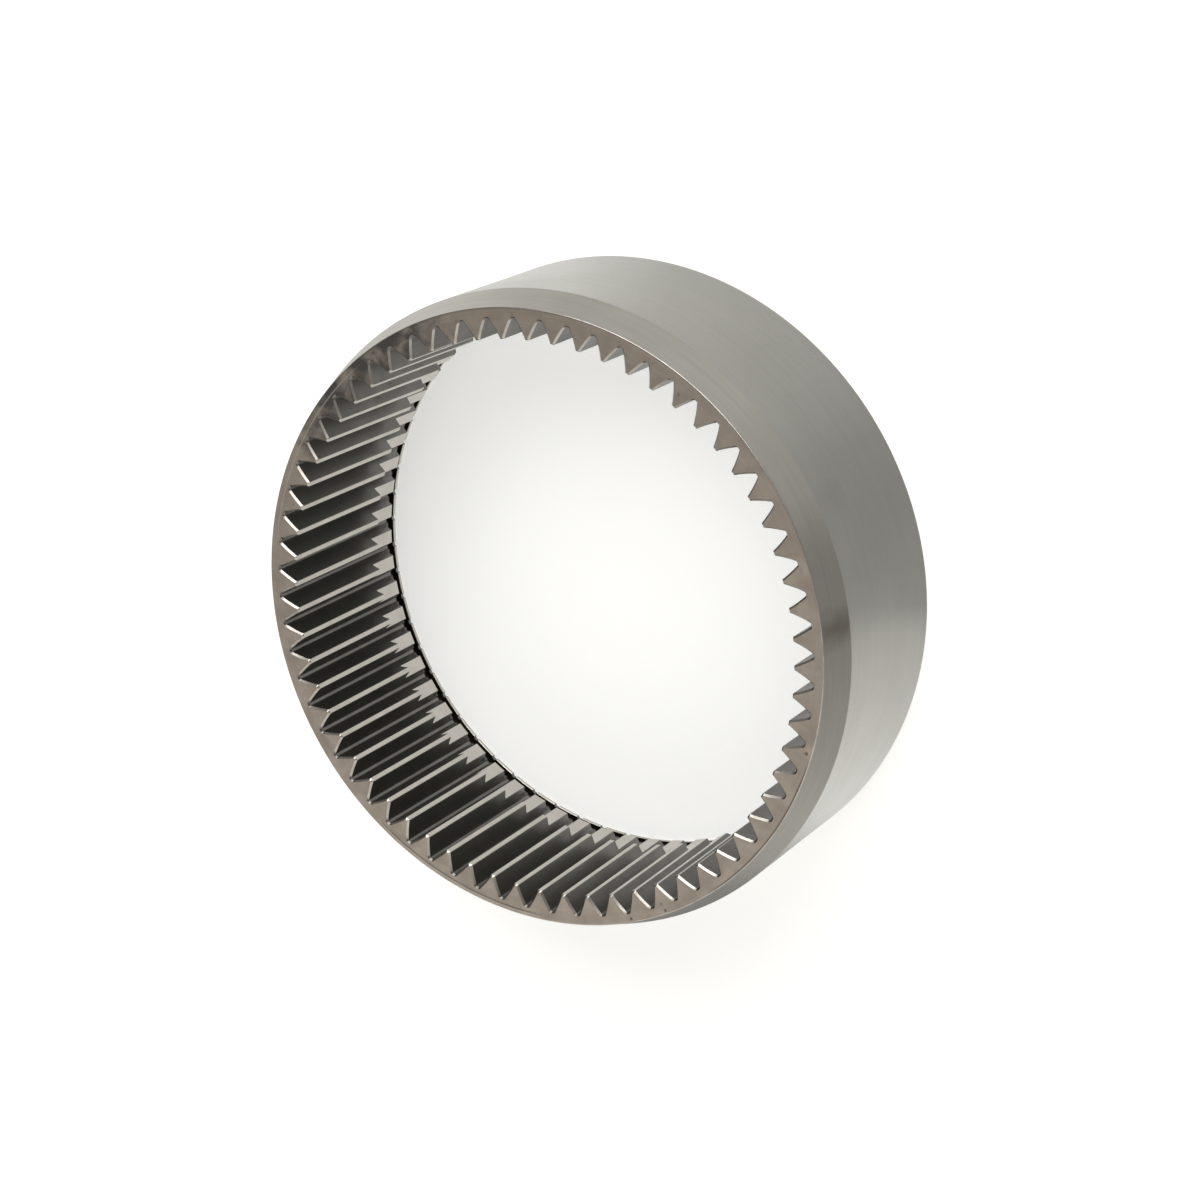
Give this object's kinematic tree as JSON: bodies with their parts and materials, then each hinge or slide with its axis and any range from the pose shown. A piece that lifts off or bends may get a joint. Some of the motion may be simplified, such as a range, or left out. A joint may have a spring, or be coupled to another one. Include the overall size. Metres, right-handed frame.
{
  "type": "ring gear",
  "caption": "Wide internal spur ring gear with a tapered nose, and a counterbored end with a snap-ring groove, for a planetary reduction.",
  "frame": {"origin": "on the gear's axis, at the middle of the counterbored end face that it lies on", "axes": "+Z along the axis, from the counterbored end up to the tapered end; +X through the middle of a tooth space"},
  "size_m": [0.254, 0.254, 0.082],
  "materials": {
    "machined_steel": "satin, turned and cut surfaces, dry"
  },
  "bodies": {
    "root": {"ring_gear": "machined_steel"}
  },
  "joints": []
}
